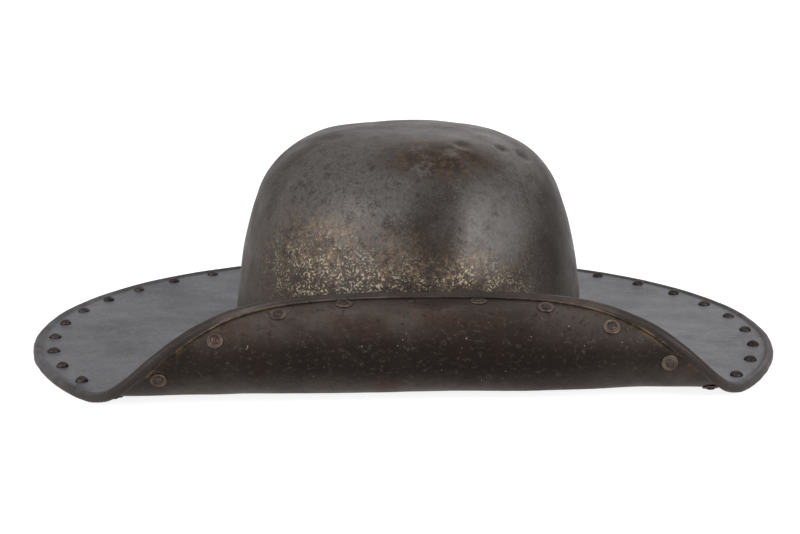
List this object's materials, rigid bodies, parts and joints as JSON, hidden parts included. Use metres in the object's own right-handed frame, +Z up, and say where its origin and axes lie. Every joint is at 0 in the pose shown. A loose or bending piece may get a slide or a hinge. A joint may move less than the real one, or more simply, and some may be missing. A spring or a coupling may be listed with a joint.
{
  "type": "kettle hat helmet",
  "caption": "Iron kettle hat: tall oval skull riveted to a wide round brim with a wired rolled border, its front curled up and back, quilted lining inside.",
  "frame": {"origin": "under the middle of the round brim, on the plane that the rolled border rests on, at the foot of the head opening", "axes": "+Z up through the crown, front of the helmet along -Y, wearer's left along +X"},
  "size_m": [0.44, 0.3773, 0.1299],
  "materials": {
    "skull_iron": "dark brown patina",
    "brim_iron": "blue-grey steel above, dark brown patina below",
    "wire_iron": "black drawn iron",
    "rivet_iron": "worn dark iron",
    "washer_iron": "brown patina",
    "band_leather": "old vegetable-tanned leather",
    "lining_linen": "quilted unbleached linen",
    "thread_linen": "waxed linen thread"
  },
  "bodies": {
    "root": {"skull": "skull_iron", "brim": "brim_iron", "border_wire": "wire_iron", "border_rivets": "rivet_iron", "border_washers": "washer_iron", "foot_rivets": "rivet_iron", "foot_washers": "washer_iron", "lining_band": "band_leather", "lining_cap": "lining_linen", "lining_thread": "thread_linen"}
  },
  "joints": []
}
